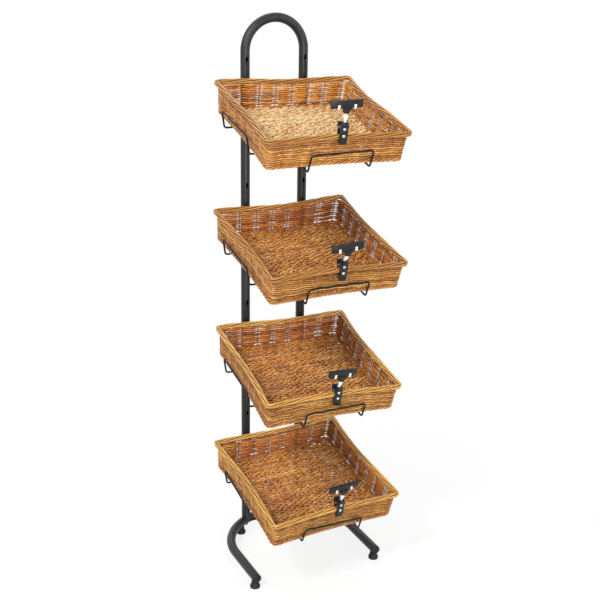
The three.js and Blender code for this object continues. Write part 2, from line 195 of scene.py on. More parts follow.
# peeled, boiled and varnished willow: honey tones that change from rod to rod, a low varnish gloss,
# and painted shade where a rod's flank, which faces along seam, dips between its neighbours
willowLook = dict(
    patchSize=9 * mm,
    speckSize=3.5 * mm,
    cloudSize=45 * mm,
    patchShare=0.3,
    speckShare=0.4,
    darkest=0.25,
    palest=0.45,
    seamFrom=0.42,
    seamTo=0.88,
    insideReach=120 * mm,
    grainStrength=0.35,
    grainDepth=0.4 * mm,
    glossSpread=0.1,
    ior=1.46,
    varnish=0.12,
    varnishRough=0.2,
)


def seamShadow(mat, colour, seam, seamShade):
    look = willowLook
    normal = addNode(mat, "ShaderNodeTexCoord").outputs["Normal"]
    facing = addNode(mat, "ShaderNodeVectorMath", {"operation": "DOT_PRODUCT", 1: seam}, {0: normal})
    flank = addNode(mat, "ShaderNodeMath", {"operation": "ABSOLUTE"}, {0: facing.outputs["Value"]})
    shade = addNode(mat, "ShaderNodeMapRange",
                    {"From Min": look["seamFrom"], "From Max": look["seamTo"],
                     "To Min": 1.0, "To Max": seamShade},
                    {"Value": flank.outputs[0]})
    return addNode(mat, "ShaderNodeVectorMath", {"operation": "SCALE"},
                   {0: colour, "Scale": shade.outputs["Result"]}).outputs[0]


def inwardFaceShading(mat, colour, place, inside, sideShare):  # painted light and shade: the faces that look into the basket are tinted, darker and redder in the lower baskets, warmer in the top one
    normal = addNode(mat, "ShaderNodeTexCoord").outputs["Normal"]
    toMiddle = (0, -uprightY - rack["basketY"], 0)
    spoke = addNode(mat, "ShaderNodeVectorMath",
                    {"operation": "MULTIPLY_ADD", 1: (sideShare, 1, 0), 2: toMiddle}, {0: place})
    outward = addNode(mat, "ShaderNodeVectorMath", {"operation": "DOT_PRODUCT"},
                      {0: spoke.outputs[0], 1: normal})
    inner = addNode(mat, "ShaderNodeMapRange",
                    {"From Min": 0.0, "From Max": -willowLook["insideReach"]},
                    {"Value": outward.outputs["Value"]})
    inwardShadeMix = addNode(mat, "ShaderNodeMix",
                    {"data_type": "RGBA", "blend_type": "MULTIPLY", mixSecond: inside + (1,)},
                    {0: inner.outputs["Result"], mixFirst: colour})
    return inwardShadeMix.outputs[mixResult]


def willowRods(name, stops, rough, rodShare=0.34, seam=None, seamShade=0.35,
               inside=None, sideShare=0.1, patches=0.12):
    look = willowLook
    mat = newMaterial(name)
    place = addNode(mat, "ShaderNodeTexCoord").outputs["Object"]
    rod = addNode(mat, "ShaderNodeNewGeometry").outputs["Random Per Island"]
    patch = addNode(mat, "ShaderNodeTexNoise",
                    {"Scale": 1 / look["patchSize"], "Detail": 4.0, "Roughness": 0.6}, {"Vector": place})
    speck = addNode(mat, "ShaderNodeTexNoise",
                    {"Scale": 1 / look["speckSize"], "Detail": 3.0}, {"Vector": place}).outputs["Fac"]
    cloud = addNode(mat, "ShaderNodeTexNoise",
                    {"Scale": 1 / look["cloudSize"], "Detail": 2.0}, {"Vector": place})
    drift = addNode(mat, "ShaderNodeMath", {"operation": "MULTIPLY_ADD", 1: patches, 2: -patches / 2},
                    {0: cloud.outputs["Fac"]})
    part = addNode(mat, "ShaderNodeMath", {"operation": "MULTIPLY_ADD", 1: rodShare},
                   {0: rod, 2: drift.outputs[0]})
    blotch = addNode(mat, "ShaderNodeMath", {"operation": "MULTIPLY_ADD", 1: look["patchShare"]},
                     {0: patch.outputs["Fac"], 2: part.outputs[0]})
    mixed = addNode(mat, "ShaderNodeMath", {"operation": "MULTIPLY_ADD", 1: look["speckShare"]},
                    {0: speck, 2: blotch.outputs[0]})
    level = addNode(mat, "ShaderNodeMapRange",
                    {"From Min": look["darkest"], "From Max": look["palest"] + rodShare},
                    {"Value": mixed.outputs[0]})
    colour = setRamp(addNode(mat, "ShaderNodeValToRGB", links={"Fac": level.outputs["Result"]}), stops)
    if seam:
        colour = seamShadow(mat, colour, seam, seamShade)
    if inside:
        colour = inwardFaceShading(mat, colour, place, inside, sideShare)
    bump = addNode(mat, "ShaderNodeBump",
                   {"Strength": look["grainStrength"], "Distance": look["grainDepth"]}, {"Height": speck})
    gloss = addNode(mat, "ShaderNodeMapRange",
                    {"To Min": rough - look["glossSpread"], "To Max": rough + look["glossSpread"]},
                    {"Value": speck})
    return finish(mat, {"IOR": look["ior"], "Coat Weight": look["varnish"],
                        "Coat Roughness": look["varnishRough"]},
                  {"Base Color": colour, "Roughness": gloss.outputs["Result"],
                   "Normal": bump.outputs["Normal"]})


# moulded plastic and rubber: even colour with a faint mould texture
plasticLook = dict(cloudSize=9 * mm, darkAt=0.35, paleAt=0.7, grainStrength=0.08, grainDepth=0.1 * mm,
                   glossier=0.05, duller=0.08, softRadius=4 * mm, ior=1.42)


def mouldedPlastic(name, dark, pale, rough, grain, soft=0.0):
    look = plasticLook
    mat = newMaterial(name)
    place = addNode(mat, "ShaderNodeTexCoord").outputs["Object"]
    cloud = addNode(mat, "ShaderNodeTexNoise",
                    {"Scale": 1 / look["cloudSize"], "Detail": 3.0}, {"Vector": place}).outputs["Fac"]
    tone = setRamp(addNode(mat, "ShaderNodeValToRGB", links={"Fac": cloud}),
                   [(look["darkAt"], dark), (look["paleAt"], pale)])
    spark = addNode(mat, "ShaderNodeTexNoise", {"Scale": 1 / grain, "Detail": 2.0}, {"Vector": place})
    bump = addNode(mat, "ShaderNodeBump",
                   {"Strength": look["grainStrength"], "Distance": look["grainDepth"]},
                   {"Height": spark.outputs["Fac"]})
    gloss = addNode(mat, "ShaderNodeMapRange",
                    {"To Min": rough - look["glossier"], "To Max": rough + look["duller"]}, {"Value": cloud})
    return finish(mat, {"IOR": look["ior"], "Subsurface Weight": soft,
                        "Subsurface Radius": (look["softRadius"],) * 3, "Subsurface Scale": 1.0},
                  {"Base Color": tone, "Roughness": gloss.outputs["Result"],
                   "Normal": bump.outputs["Normal"]})


# zinc plated steel: bright with soft cloudy patches
zincLook = dict(cloudSize=4 * mm, darkAt=0.3, paleAt=0.7, dark="#a9acae", pale="#c9cbcc",
                glossiest=0.2, dullest=0.36)


def zincPlate(name):
    look = zincLook
    mat = newMaterial(name)
    place = addNode(mat, "ShaderNodeTexCoord").outputs["Object"]
    cloud = addNode(mat, "ShaderNodeTexNoise",
                    {"Scale": 1 / look["cloudSize"], "Detail": 3.0}, {"Vector": place}).outputs["Fac"]
    tone = setRamp(addNode(mat, "ShaderNodeValToRGB", links={"Fac": cloud}),
                   [(look["darkAt"], look["dark"]), (look["paleAt"], look["pale"])])
    gloss = addNode(mat, "ShaderNodeMapRange",
                    {"To Min": look["glossiest"], "To Max": look["dullest"]}, {"Value": cloud})
    return finish(mat, {"Metallic": 1.0}, {"Base Color": tone, "Roughness": gloss.outputs["Result"]})


tubeCoat = powderCoat("powderCoatedTube", "#181918", "#212220", 0.42, 2.5 * mm)
wireCoat = powderCoat("powderCoatedWire", "#060606", "#0b0b0b", 0.45, 2.0 * mm, ior=1.36)
footRubber = mouldedPlastic("footRubber", "#080808", "#101010", 0.6, 1.5 * mm)
blackPlastic = mouldedPlastic("clipBlackAbs", "#0c0e10", "#131517", 0.36, 1.2 * mm)
milkyPlastic = mouldedPlastic("milkyPolycarbonate", "#e2e2de", "#efefec", 0.25, 1.2 * mm, soft=0.25)
zinc = zincPlate("zincPlatedSteel")
upWall = (0, -math.sin(tilt), math.cos(tilt))
upFloor = (0, math.cos(tilt), math.sin(tilt))
wallWillow = willowRods(
    "varnishedWillowWall", [(0.0, "#5c2908"), (0.3, "#9f5b1a"), (0.62, "#d08d36"), (1.0, "#ffd07a")],
    0.42, rodShare=0.2, seam=upWall, seamShade=0.16, inside=(0.92, 0.69, 0.5), sideShare=0.5)
topWallWillow = willowRods(
    "varnishedWillowTopWall", [(0.0, "#6f330b"), (0.3, "#ab641e"), (0.62, "#d8923c"), (1.0, "#ffd37c")],
    0.42, rodShare=0.2, seam=upWall, seamShade=0.2, inside=(1.1, 0.98, 0.7))
rimWillow = willowRods(
    "varnishedWillowRim", [(0.0, "#633910"), (0.3, "#986022"), (0.62, "#b9823a"), (1.0, "#e4bb74")],
    0.42, rodShare=0.6)
goldRimWillow = willowRods(
    "varnishedWillowGoldRim", [(0.0, "#7a4d18"), (0.3, "#b57d33"), (0.62, "#d6a554"), (1.0, "#fadd9c")],
    0.42, rodShare=0.6)
# the rim's core rod is near black: painted shade that shows in the gaps between the rim strands
coreWillow = willowRods("varnishedWillowCore", [(0.0, "#2c1405"), (1.0, "#55300f")], 0.6)
# the stakes are a darker willow than the rows: painted shade, so that the slits between the rows read dark
stakeWillow = willowRods("varnishedWillowStake", [(0.0, "#64360f"), (0.5, "#8f551f"), (1.0, "#b87c3a")], 0.5)
floorWillow = willowRods(
    "varnishedWillowFloor", [(0.0, "#6b350c"), (0.3, "#ab6520"), (0.62, "#ca8636"), (1.0, "#f3be6d")],
    0.38, rodShare=0.16, seam=upFloor, patches=0.3)
topFloorWillow = willowRods(
    "varnishedWillowTopFloor", [(0.0, "#a06e38"), (0.3, "#dbab6c"), (0.62, "#efcb93"), (1.0, "#fff0cc")],
    0.4, rodShare=0.16, seam=upFloor, seamShade=0.55, patches=0.3)
print("materials made")

# mesh helpers, with angles in degrees
meshSet = dict(weld=0.005 * mm, cadWeld=0.01 * mm, flatAngle=1, bevelAngle=40, bevelSegments=2,
               turnedSharp=38, bevelSharp=35, tubeSharp=40)


def newPiece(name, mesh, material, body, slotName, *replaced):
    piece = addObject(name, mesh)
    mesh.materials.clear()
    mesh.materials.append(material)
    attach(piece, body)
    if replaced:
        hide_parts(*replaced)
    return piece


def meshFrom(bm, name):
    mesh = bpy.data.meshes.new(name)
    bm.to_mesh(mesh)
    bm.free()
    return mesh


def evaluated(made):  # a new mesh of what an object shows, modifiers and all
    return bpy.data.meshes.new_from_object(made.evaluated_get(bpy.context.evaluated_depsgraph_get()))


def settle(piece):  # bake the modifiers into the mesh
    mesh = evaluated(piece)
    piece.modifiers.clear()
    piece.data = mesh
    return piece


def shadeSmooth(mesh, sharpAngle=None):
    mesh.polygons.foreach_set("use_smooth", [True] * len(mesh.polygons))
    if sharpAngle:
        mesh.set_sharp_from_angle(angle=math.radians(sharpAngle))


# round rods along lists of points
def rodMesh(name, runs, radius, sides, closed=False, caps=True, radii=None):
    data = bpy.data.curves.new(name, "CURVE")
    data.dimensions = "3D"
    data.bevel_depth = radius
    data.bevel_resolution = max(0, sides // 2 - 2)
    data.use_fill_caps = caps
    for k, run in enumerate(runs):
        spline = data.splines.new("POLY")
        spline.points.add(len(run) - 1)
        spline.points.foreach_set("co", [c for p in run for c in (p[0], p[1], p[2], 1.0)])
        if radii:
            spline.points.foreach_set("radius", radii[k])
        spline.use_cyclic_u = closed
    holder = addObject(name + "Path", data)
    mesh = evaluated(holder)
    bpy.data.objects.remove(holder)
    bpy.data.curves.remove(data)
    shadeSmooth(mesh)
    mesh.name = name
    return mesh


def roundCorners(corners, bends, steps):  # points of a bent wire, with a bend radius for each corner
    points = [corners[0]]
    for k in range(1, len(corners) - 1):
        back = (corners[k - 1] - corners[k]).normalized()
        ahead = (corners[k + 1] - corners[k]).normalized()
        half = back.angle(ahead) / 2
        centre = corners[k] + (back + ahead).normalized() * (bends[k] / math.sin(half))
        start = corners[k] + back * (bends[k] / math.tan(half)) - centre
        stop = corners[k] + ahead * (bends[k] / math.tan(half)) - centre
        axis = start.cross(stop).normalized()
        sweep = start.angle(stop)
        points += [centre + Matrix.Rotation(sweep * i / steps, 3, axis) @ start for i in range(steps + 1)]
    return points + [corners[-1]]


def turnedMesh(name, profile, place, steps=40):  # profile of (radius, height) spun round Z, then placed
    bm = bmesh.new()
    verts = [bm.verts.new((r, 0, z)) for r, z in profile]
    edges = [bm.edges.new(pair) for pair in zip(verts, verts[1:])]
    bmesh.ops.spin(bm, geom=verts + edges, cent=(0, 0, 0), axis=(0, 0, 1), angle=math.tau, steps=steps,
                   use_merge=True)
    bmesh.ops.remove_doubles(bm, verts=bm.verts, dist=meshSet["weld"])
    bmesh.ops.recalc_face_normals(bm, faces=bm.faces)
    bmesh.ops.transform(bm, matrix=place, verts=bm.verts)
    mesh = meshFrom(bm, name)
    shadeSmooth(mesh, meshSet["turnedSharp"])
    return mesh


def softEdges(name, node, width, material, body, slotName):  # a merged copy of a CAD node with moulded edges
    bm = bmesh.new()
    bm.from_mesh(nodes[node].data)
    bmesh.ops.remove_doubles(bm, verts=bm.verts, dist=meshSet["cadWeld"])
    flat = math.radians(meshSet["flatAngle"])
    bmesh.ops.dissolve_limit(bm, angle_limit=flat, verts=bm.verts, edges=bm.edges)
    piece = newPiece(name, meshFrom(bm, name), material, body, slotName, node)
    bevel = piece.modifiers.new("edges", "BEVEL")
    bevel.width = width
    bevel.segments = meshSet["bevelSegments"]
    bevel.limit_method = "ANGLE"
    bevel.angle_limit = math.radians(meshSet["bevelAngle"])
    settle(piece)
    shadeSmooth(piece.data, meshSet["bevelSharp"])
    return piece


# stand
standSet = dict(tubeSides=40, tubeWall=1.5 * mm, arcSteps=48, tubeFoot=6 * mm,
                slotHalf=3.3 * mm, slotTall=17 * mm, cutterDepth=12 * mm, cutterOut=1 * mm)


def bentTube(name, points, node):
    mesh = rodMesh(name, [points], rack["tubeRadius"], standSet["tubeSides"], caps=False)
    tube = newPiece(name, mesh, tubeCoat, "stand", "coat", node)
    wall = tube.modifiers.new("wall", "SOLIDIFY")
    wall.thickness = standSet["tubeWall"]
    wall.offset = -1
    return settle(tube)


def slotCutter():
    s = standSet
    bm = bmesh.new()
    size = Matrix.Diagonal((2 * s["slotHalf"], s["cutterDepth"], s["slotTall"], 1))
    for tier in range(rack["tiers"]):
        hook = rimHeight(tier) + rack["hookAbove"]
        middle = hook - s["slotHalf"] + s["slotTall"] / 2
        for side in (-1, 1):
            spot = standPoint(side * rack["uprightHalf"], -rack["tubeRadius"] - s["cutterOut"], middle)
            bmesh.ops.create_cube(bm, size=1, matrix=Matrix.Translation(spot) @ size)
    return addObject("slotCutter", meshFrom(bm, "slotCutter"))


def makeUprights(sweep):
    half = rack["uprightHalf"]
    spring = rack["archTop"] - half
    foot = rack["baseHeight"] + standSet["tubeFoot"]
    arch = [standPoint(-half, 0, foot)]
    arch += [standPoint(half * math.cos(a), 0, spring + half * math.sin(a)) for a in sweep]
    arch += [standPoint(half, 0, foot)]
    uprights = bentTube("uprights", arch, "upright_frame")
    cutter = slotCutter()
    slots = uprights.modifiers.new("slots", "BOOLEAN")
    slots.operation = "DIFFERENCE"
    slots.object = cutter
    slots.solver = "EXACT"
    settle(uprights)
    bpy.data.objects.remove(cutter)
    uprights.data.set_sharp_from_angle(angle=math.radians(meshSet["tubeSharp"]))


def makeBase(sweep):
    radius = rack["baseRadius"]
    height = rack["baseHeight"]
    shoe = [standPoint(-radius, rack["baseFront"], height)]
    shoe += [standPoint(radius * math.cos(a), baseCentreY + radius * math.sin(a), height) for a in sweep]
    shoe += [standPoint(radius, rack["baseFront"], height)]
    base = bentTube("baseHorseshoe", shoe, "base_tube")
    base.data.set_sharp_from_angle(angle=math.radians(meshSet["tubeSharp"]))


# levelling feet, and plugs in the ends of the base
footSet = dict(pad=14 * mm, neck=10.2 * mm, top=20.2 * mm, stem=4 * mm, stemTall=15 * mm,
               frontY=-301 * mm, rearX=107 * mm)
plugSet = dict(fit=2.1 * mm, inner=6.3 * mm, seat=0.3 * mm)


def makeFeet():
    pad, neck, top = (footSet[k] for k in ("pad", "neck", "top"))
    profile = [(0, 0), (pad - 2 * mm, 0), (pad - 0.6 * mm, 0.5 * mm), (pad, 2 * mm), (pad, 7.2 * mm),
               (pad - 0.8 * mm, 8.6 * mm), (neck + 2 * mm, 10.2 * mm), (neck + 0.5 * mm, 11.4 * mm),
               (neck, 13 * mm), (neck, top - 0.8 * mm), (neck - 0.8 * mm, top), (footSet["stem"], top),
               (footSet["stem"], top + footSet["stemTall"]), (0, top + footSet["stemTall"])]
    wide, rearX = rack["baseRadius"], footSet["rearX"]
    rearY = baseCentreY + math.sqrt(wide ** 2 - rearX ** 2)
    places = {"front_left": (-wide, footSet["frontY"]), "front_right": (wide, footSet["frontY"]),
              "rear_left": (-rearX, rearY), "rear_right": (rearX, rearY)}
    for name, (x, y) in places.items():
        mesh = turnedMesh("foot", profile, Matrix.Translation(standPoint(x, y, 0)))
        newPiece("glide_" + name, mesh, footRubber, "levelling_foot_" + name, "foot_rubber", "foot_" + name)


def makePlugs():
    cap = rack["tubeRadius"]
    bore = cap - plugSet["fit"]
    profile = [(0, -plugSet["inner"]), (bore, -plugSet["inner"]), (bore, 0), (cap, 0), (cap, 1.2 * mm),
               (cap - 0.5 * mm, 2.3 * mm), (cap - 2 * mm, 3.1 * mm), (cap - 5 * mm, 3.6 * mm), (0, 3.8 * mm)]
    for side, x in (("left", -rack["baseRadius"]), ("right", rack["baseRadius"])):
        spot = standPoint(x, rack["baseFront"] - plugSet["seat"], rack["baseHeight"])
        place = Matrix.Translation(spot) @ Matrix.Rotation(math.pi / 2, 4, "X")
        mesh = turnedMesh("tubePlug", profile, place)
        newPiece("tubePlug_" + side, mesh, footRubber, "stand", "foot_rubber", "end_cap_" + side)


def plateHardware():  # the hidden bolts and plugs keep their CAD shape
    for node in ("upright_plug_left", "upright_plug_right", "upright_bolt_left", "upright_bolt_right"):
        nodes[node].data.materials.clear()
        nodes[node].data.materials.append(zinc)


halfTurn = [math.pi * (1 - k / standSet["arcSteps"]) for k in range(standSet["arcSteps"] + 1)]
makeUprights(halfTurn)
makeBase(halfTurn)
makeFeet()
makePlugs()
plateHardware()
print("stand made")

# wire cradles
cradleSet = dict(
    wire=2.5 * mm,
    sides=12,
    bendSteps=8,
    bend=9 * mm,
    bigBend=14 * mm,
    hookBend=3.2 * mm,
    hookDrop=11 * mm,
    hookIn=-4.5 * mm,
    gap=0.3 * mm,
    frontLip=-187 * mm,
    frontLean=10 * mm,
    lipTall=48 * mm,
    sideLip=191 * mm,
    sideLean=11 * mm,
    crossRear=93 * mm,
    crossFront=-71 * mm,
)


def makeCradle(tier):
    c = cradleSet
    body = f"cradle_{tier + 1}"
    place = tierFrame(tier, False)
    floor = -rack["basketDepth"] - c["gap"] - c["wire"]
    under = floor - 2 * c["wire"] - c["gap"]  # the main wire runs under the cross wire
    face = -rack["tubeRadius"] - c["gap"] - c["wire"]
    hook = rimHeight(tier) + rack["hookAbove"]
    heel = (face - rack["basketY"] + math.sin(tilt) * under) / math.cos(tilt)

    def mainHalf(side):
        x = side * rack["uprightHalf"]
        return [standPoint(x, c["hookIn"], hook - c["hookDrop"]), standPoint(x, c["hookIn"], hook),
                standPoint(x, face, hook), place @ Vector((x, heel, under)),
                place @ Vector((x, c["frontLip"], under)),
                place @ Vector((x, c["frontLip"] - c["frontLean"], under + c["lipTall"]))]

    bends = [0, c["hookBend"], c["hookBend"], c["bigBend"], c["bend"], c["bend"]]
    points = roundCorners(mainHalf(-1) + mainHalf(1)[::-1], bends + bends[::-1], c["bendSteps"])
    mesh = rodMesh("mainWire", [points], c["wire"], c["sides"])
    newPiece(f"mainWire_{tier + 1}", mesh, wireCoat, body, "wire", f"{body}_main_wire")

    lip = c["sideLip"]
    lean = lip + c["sideLean"]
    front, rear = c["crossFront"], c["crossRear"]
    lipTop = floor + c["lipTall"]
    loop = [(0, front, floor), (-lip, front, floor), (-lean, front, lipTop), (-lean, rear, lipTop),
            (-lip, rear, floor), (lip, rear, floor), (lean, rear, lipTop), (lean, front, lipTop),
            (lip, front, floor), (0, front, floor)]
    corners = [place @ Vector(p) for p in loop]
    points = roundCorners(corners, [c["bend"]] * len(corners), c["bendSteps"])[:-1]
    mesh = rodMesh("crossWire", [points], c["wire"], c["sides"], closed=True)
    newPiece(f"crossWire_{tier + 1}", mesh, wireCoat, body, "wire", f"{body}_cross_wire")


for tier in range(rack["tiers"]):
    makeCradle(tier)
print("cradles made")

# baskets: real rods woven over and under, no image
# w is height from the rim, t is the share of the way round from the front left corner
basketSet = dict(
    seed=40,
    rimSide=378 * mm,
    rimWidth=15 * mm,
    rimDepth=13 * mm,
    rimCorner=16 * mm,
    wallTop=367 * mm,
    wallBottom=358 * mm,
    wallFoot=13.6 * mm,  # the rows start above the foot wale
    wallTuck=1 * mm,  # and end inside the rim
    corner=19 * mm,
    rodInset=4 * mm,  # from the outer corner to the middle of the weave
    weaveInset=4.2 * mm,
    flare=9 * mm,  # how far the corners stand out
    footFlare=0.8,  # part of that at the floor
    cornerShare=0.97,  # where along its side each corner turns
    warp=2.3 * mm,
    warpWaves=(2, 3, 5),  # bows in one round of the rim
    clipShare=0.12,  # where the clip sits
    clipSpread=0.06,
)
wallSet = dict(stakes=60, perStake=4, rows=10, rod=2.7 * mm, sides=6, weave=2.2 * mm, sag=1.3 * mm,
               swell=0.2, plump=1.08, pinch=(0.25, 0.48, 0.25, 0.27),  # front, right, back and left wall
               rodLength=0.3, rodSpread=(0.6, 1.2), rodLap=3)
stakeSet = dict(rod=1.3 * mm, sides=8, lean=0.0005, foot=2 * mm, head=4 * mm)
ropeSet = dict(sides=8, swell=0.12, rimRods=5, rimRod=2.0 * mm, rimTurns=6, rimSteps=420,
               coreRod=3.0 * mm, coreSteps=160, footRods=4, footRod=2.4 * mm, footTurns=24, footSteps=420,
               footIn=5 * mm, footUp=7 * mm, footWide=2.0 * mm, footTall=4.4 * mm)
floorSet = dict(rows=54, sticks=25, perStick=4, rod=3.2 * mm, sides=6, weave=2.3 * mm, swing=0.16,
                inset=7 * mm, sway=0.8 * mm, swell=0.18, late=0.45, drift=0.9,
                stick=1.9 * mm, stickSides=8, stickEnd=1 * mm)
wanderSet = dict(waves=3, least=0.4, slowest=3, fastest=17)
wallLow = -rack["basketDepth"] + basketSet["wallFoot"]
wallHigh = -basketSet["rimDepth"] + basketSet["wallTuck"]
rodCorner = basketSet["corner"] - basketSet["rodInset"]


def squarePlace(t, half, corner):  # point and outward direction at share t round a rounded square
    side, share = divmod((t % 1.0) * 4, 1)
    straight = 2 * (half - corner)
    along = share * (straight + math.pi / 2 * corner)
    if along < straight:
        point = Vector((-half + corner + along, -half, 0))
        out = Vector((0, -1, 0))
    else:
        angle = (along - straight) / corner
        out = Vector((math.sin(angle), -math.cos(angle), 0))
        point = Vector((half - corner, -half + corner, 0)) + out * corner
    quarter = Matrix.Rotation(side * math.pi / 2, 3, "Z")
    return quarter @ point, quarter @ out


def wander(rng, size):  # slow smooth wobble along a rod
    count, least, slowest, fastest = (wanderSet[k] for k in ("waves", "least", "slowest", "fastest"))
    waves = [(rng.uniform(least, 1) * size, rng.randint(slowest, fastest), rng.uniform(0, math.tau))
             for _ in range(count)]
    return lambda t: sum(a * math.sin(n * math.tau * t + p) for a, n, p in waves) / count


def riseAt(w):  # 0 at the floor, 1 at the rim
    return (w + rack["basketDepth"]) / rack["basketDepth"]


def flareAt(w):
    return basketSet["flare"] * (basketSet["footFlare"] + (1 - basketSet["footFlare"]) * riseAt(w))


def cornerFlare(t, w):  # nothing at the middle of a side, most at the corners
    return flareAt(w) * (2 * ((4 * t - basketSet["cornerShare"]) % 1) - 1) ** 2


def wallHalf(w):
    spread = basketSet["wallTop"] - basketSet["wallBottom"]
    return (basketSet["wallBottom"] + spread * riseAt(w)) / 2 - basketSet["weaveInset"]


def rimWarp(rng):  # hand-made sag, most at the rim, which stays level in its clip
    b = basketSet
    bows = [(b["warp"] * rng.uniform(0.5, 1), n, rng.uniform(0, math.tau)) for n in b["warpWaves"]]

    def bow(t):
        return sum(a * math.sin(n * math.tau * t + p) for a, n, p in bows)

    def warp(t, w):
        held = bow(b["clipShare"]) * math.exp(-((t % 1 - b["clipShare"]) / b["clipSpread"]) ** 2)
        return (bow(t) - held) * riseAt(w)

    return warp


def startBasket(tier):
    rng = random.Random(basketSet["seed"] + tier)
    return dict(label=tier + 1, body=f"basket_{tier + 1}", place=tierFrame(tier), rng=rng, warp=rimWarp(rng))


def raised(basket, point, w):
    return basket["place"] @ Vector((point.x, point.y, w))


def weaveRod(basket, height, sag, swell, first, size):  # points and thicknesses of one rod of a wall row
    count = wallSet["stakes"] * wallSet["perStake"]
    run = []
    sizes = []
    for k in range(first, first + size + wallSet["rodLap"]):
        t = k / count
        w = height + sag(t) + basket["warp"](t, height)
        swing = math.cos(math.pi * k / wallSet["perStake"])  # in front of one stake, behind the next
        point, out = squarePlace(t, wallHalf(w) + cornerFlare(t, w), rodCorner)
        run.append(raised(basket, point + out * wallSet["weave"] * swing, w))
        thinner = wallSet["pinch"][int(4 * t) % 4] * max(0.0, swing) ** 0.5
        sizes.append(wallSet["plump"] + swell(t) - thinner)
    return run, sizes


def weaveWall(basket, willow):
    rng = basket["rng"]
    count = wallSet["stakes"] * wallSet["perStake"]
    runs = []
    radii = []
    for row in range(wallSet["rows"]):
        height = wallLow + (wallHigh - wallLow) * (row + 0.5) / wallSet["rows"]
        sag = wander(rng, wallSet["sag"])
        swell = wander(rng, wallSet["swell"])
        first = rng.randrange(count)
        left = count
        while left > 0:  # each row is laid from several rods, end after end
            size = min(left, int(count * wallSet["rodLength"] * rng.uniform(*wallSet["rodSpread"])))
            run, sizes = weaveRod(basket, height, sag, swell, first, size)
            runs.append(run)
            radii.append(sizes)
            first += size
            left -= size
    mesh = rodMesh("wallWeave", runs, wallSet["rod"], wallSet["sides"], radii=radii)
    newPiece(f"wallWeave_{basket['label']}", mesh, willow, basket["body"], "willow", f"{basket['body']}_wall")


def setStakes(basket):
    heights = (-rack["basketDepth"] + stakeSet["foot"], wallLow, wallHigh, -stakeSet["head"])
    stakes = []
    for k in range(wallSet["stakes"]):
        t = k / wallSet["stakes"]
        lean = basket["rng"].uniform(-stakeSet["lean"], stakeSet["lean"])
        inward = wallSet["weave"] * (k % 2)  # every second stake is wrapped from inside
        stake = []
        for n, w in enumerate(heights):
            point, _ = squarePlace(t + lean * n, wallHalf(w) + cornerFlare(t, w) - inward, rodCorner)
            stake.append(raised(basket, point, w + basket["warp"](t, w)))
        stakes.append(stake)
    mesh = rodMesh("wallStakes", stakes, stakeSet["rod"], stakeSet["sides"])
    newPiece(f"wallStakes_{basket['label']}", mesh, stakeWillow, basket["body"], "willow")


def layRope(basket, line, wide, tall, rods, rod, turns, steps):  # rods laid round each other along the square
    half, height, corner = line
    strands = []
    radii = []
    for n in range(rods):
        wobble = wander(basket["rng"], ropeSet["swell"])
        strand = []
        for k in range(steps):
            t = k / steps
            angle = math.tau * (turns * t + n / rods)
            point, out = squarePlace(t, half + cornerFlare(t, height), corner)
            w = height + tall * math.sin(angle) + basket["warp"](t, height)
            strand.append(raised(basket, point + out * wide * math.cos(angle), w))
        strands.append(strand)
        radii.append([1 + wobble(k / steps) for k in range(steps)])
    return rodMesh("rope", strands, rod, ropeSet["sides"], closed=True, radii=radii)


def rollRim(basket, willow):
    b, r = basketSet, ropeSet
    line = (b["rimSide"] / 2 - b["rimWidth"] / 2, -b["rimDepth"] / 2, b["rimCorner"] - b["rimWidth"] / 2)
    mesh = layRope(basket, line, b["rimWidth"] / 2 - r["rimRod"], b["rimDepth"] / 2 - r["rimRod"],
                   r["rimRods"], r["rimRod"], r["rimTurns"], r["rimSteps"])
    newPiece(f"rolledRim_{basket['label']}", mesh, willow, basket["body"], "rim_willow",
             f"{basket['body']}_rim")
    # a near-black core rod inside the strands, painted shade for the gaps between them
    mesh = layRope(basket, line, 0, 0, 1, r["coreRod"], 0, r["coreSteps"])
    newPiece(f"rimCore_{basket['label']}", mesh, coreWillow, basket["body"], "rim_willow")


def layFootWale(basket, willow):
    r = ropeSet
    line = (basketSet["wallBottom"] / 2 - r["footIn"], -rack["basketDepth"] + r["footUp"], rodCorner)
    mesh = layRope(basket, line, r["footWide"], r["footTall"],
                   r["footRods"], r["footRod"], r["footTurns"], r["footSteps"])
    newPiece(f"footWale_{basket['label']}", mesh, willow, basket["body"], "willow")


